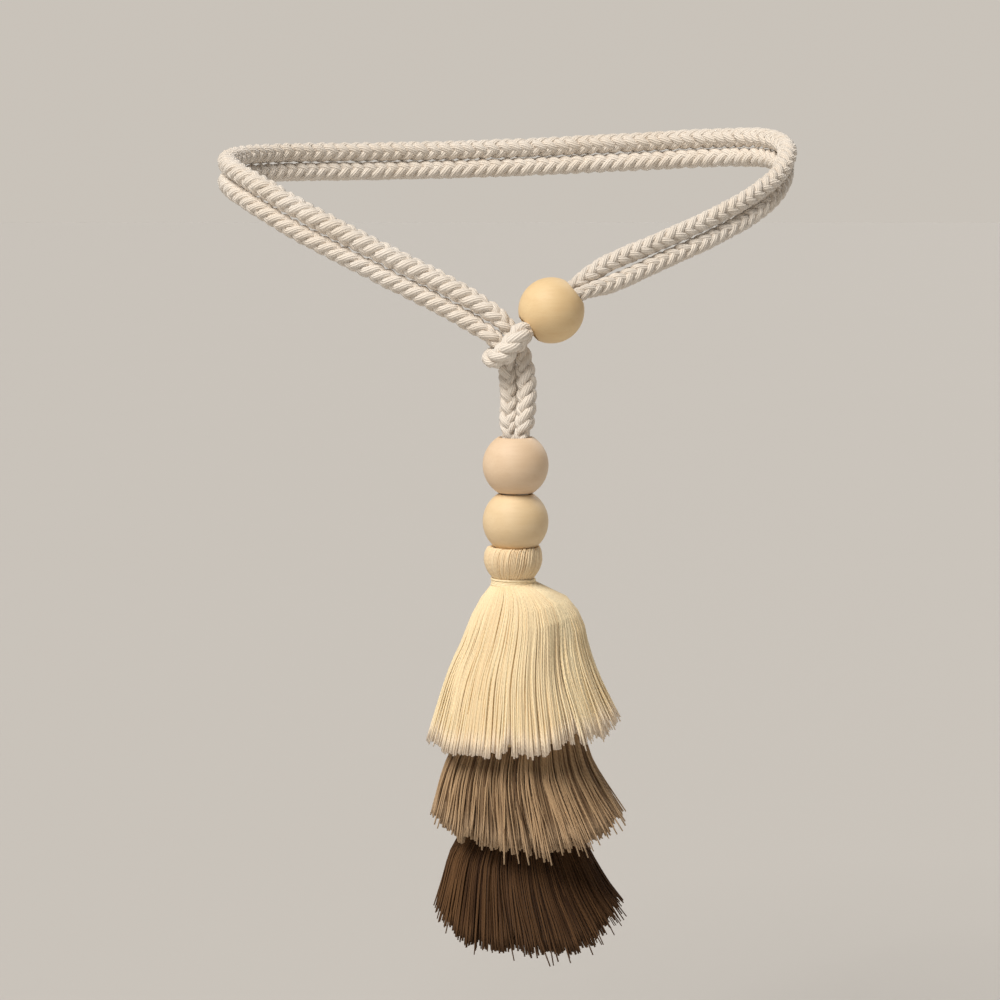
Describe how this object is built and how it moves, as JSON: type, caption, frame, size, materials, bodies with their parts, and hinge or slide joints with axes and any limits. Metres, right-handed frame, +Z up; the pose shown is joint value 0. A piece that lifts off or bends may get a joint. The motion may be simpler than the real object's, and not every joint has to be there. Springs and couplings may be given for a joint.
{
  "type": "curtain tieback tassel",
  "caption": "Doubled cotton rope loop that gathers a curtain, with a sliding wooden bead and a hanging tiered yarn tassel under wooden beads.",
  "frame": {"origin": "on the inner side of the doubled rope, at the middle of the back of the loop, where the gathered curtain bears on it", "axes": "+Z up, +X to the right of someone who faces the tassel, +Y from the tassel to the back of the loop"},
  "size_m": [0.2774, 0.1912, 0.3832],
  "materials": {
    "natural_cotton": "soft braided cotton, undyed",
    "pale_wood": "smooth sanded wood, thin satin coat",
    "cream_yarn": "twisted yarn, cream",
    "tan_yarn": "twisted yarn, tan",
    "brown_yarn": "twisted yarn, dark brown"
  },
  "bodies": {
    "root": {"rope": "natural_cotton", "cinch_bead": "pale_wood", "upper_bead": "pale_wood", "lower_bead": "pale_wood", "cream_tassel": "cream_yarn", "neck_binding": "cream_yarn", "tan_skirt": "tan_yarn", "brown_skirt": "brown_yarn"}
  },
  "joints": []
}
